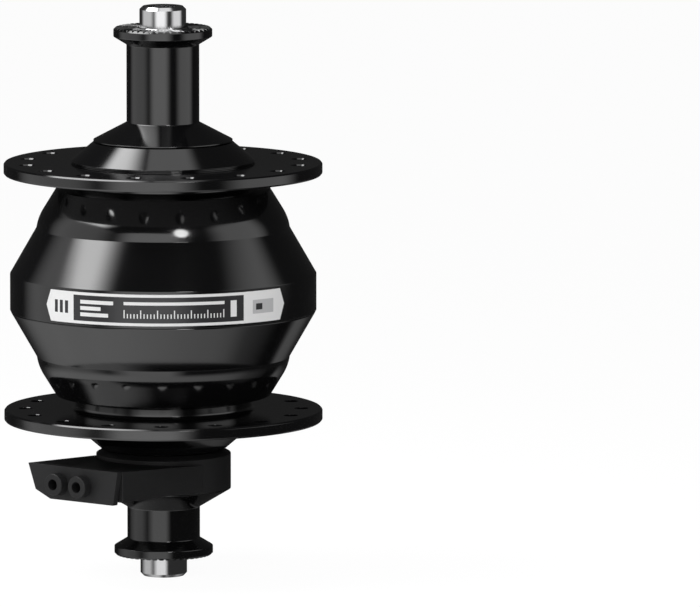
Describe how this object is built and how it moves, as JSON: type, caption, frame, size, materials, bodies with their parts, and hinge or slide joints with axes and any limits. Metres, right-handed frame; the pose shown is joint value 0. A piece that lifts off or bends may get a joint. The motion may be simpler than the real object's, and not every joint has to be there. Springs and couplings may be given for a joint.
{
  "type": "hub dynamo",
  "caption": "Bicycle front hub with a built-in dynamo: a black flanged shell turns on a hollow axle with serrated end caps and a pull-off wire plug on a side tongue.",
  "frame": {"origin": "middle of the hub on the axle's middle line, halfway between the two end caps", "axes": "+Z along the axle towards the plain end, away from the connector; the label's middle looks along -Y"},
  "size_m": [0.06, 0.06, 0.108],
  "materials": {
    "black_anodised": "glossy black anodised, fine turned",
    "axle_steel": "polished",
    "connector_plastic": "fine spark eroded",
    "contact_brass": "bright",
    "lead_copper": "enamelled copper",
    "winding_copper": "enamelled copper",
    "plain_steel": "zinc plated",
    "soft_iron": "stamped, oiled",
    "bearing_steel": "ground",
    "plated_magnet": "nickel plated",
    "bobbin_nylon": "moulded",
    "cage_nylon": "moulded",
    "seal_rubber": "satin",
    "label_film": "printed film"
  },
  "bodies": {
    "axle_set": {"axle": "axle_steel", "upper_end_cap": "black_anodised", "lower_end_cap": "black_anodised", "connector_housing": "connector_plastic", "terminal_blades": "contact_brass", "lead_wires": "lead_copper", "connector_spacer": "plain_steel", "stator_core": "soft_iron", "upper_claw_plate": "soft_iron", "lower_claw_plate": "soft_iron", "coil_bobbin": "bobbin_nylon", "coil_winding": "winding_copper", "stator_washer": "plain_steel", "stator_nut": "plain_steel", "upper_bearing_inner_race": "bearing_steel", "lower_bearing_inner_race": "bearing_steel"},
    "shell": {"hub_shell": "black_anodised", "flange_cover": "black_anodised", "cover_seal": "seal_rubber", "magnet_back_iron": "soft_iron", "rotor_magnets": "plated_magnet", "upper_bearing_outer_race": "bearing_steel", "lower_bearing_outer_race": "bearing_steel", "upper_bearing_seals": "seal_rubber", "lower_bearing_seals": "seal_rubber", "upper_retaining_ring": "plain_steel", "lower_retaining_ring": "plain_steel", "lower_dust_seal": "seal_rubber", "rating_label": "label_film"},
    "upper_cage": {"upper_bearing_balls": "bearing_steel", "upper_bearing_cage": "cage_nylon"},
    "lower_cage": {"lower_bearing_balls": "bearing_steel", "lower_bearing_cage": "cage_nylon"},
    "plug": {"wire_plug": "connector_plastic", "plug_sockets": "contact_brass"}
  },
  "joints": [
    {"name": "shell_spin", "type": "hinge", "parent": "axle_set", "child": "shell", "pos_m": [0, 0, 0], "axis": [0, 0, 1], "continuous": true},
    {"name": "upper_cage_spin", "type": "hinge", "parent": "axle_set", "child": "upper_cage", "pos_m": [0, 0, 0.0238], "axis": [0, 0, 1], "continuous": true},
    {"name": "lower_cage_spin", "type": "hinge", "parent": "axle_set", "child": "lower_cage", "pos_m": [0, 0, -0.0238], "axis": [0, 0, 1], "continuous": true},
    {"name": "plug_slide", "type": "slide", "parent": "axle_set", "child": "plug", "axis": [-0.6225, -0.7826, 0], "range_m": [0, 0.014]}
  ],
  "couplings": [
    {"joint": "upper_cage_spin", "follows": "shell_spin", "ratio": 0.58889},
    {"joint": "lower_cage_spin", "follows": "shell_spin", "ratio": 0.58889}
  ]
}
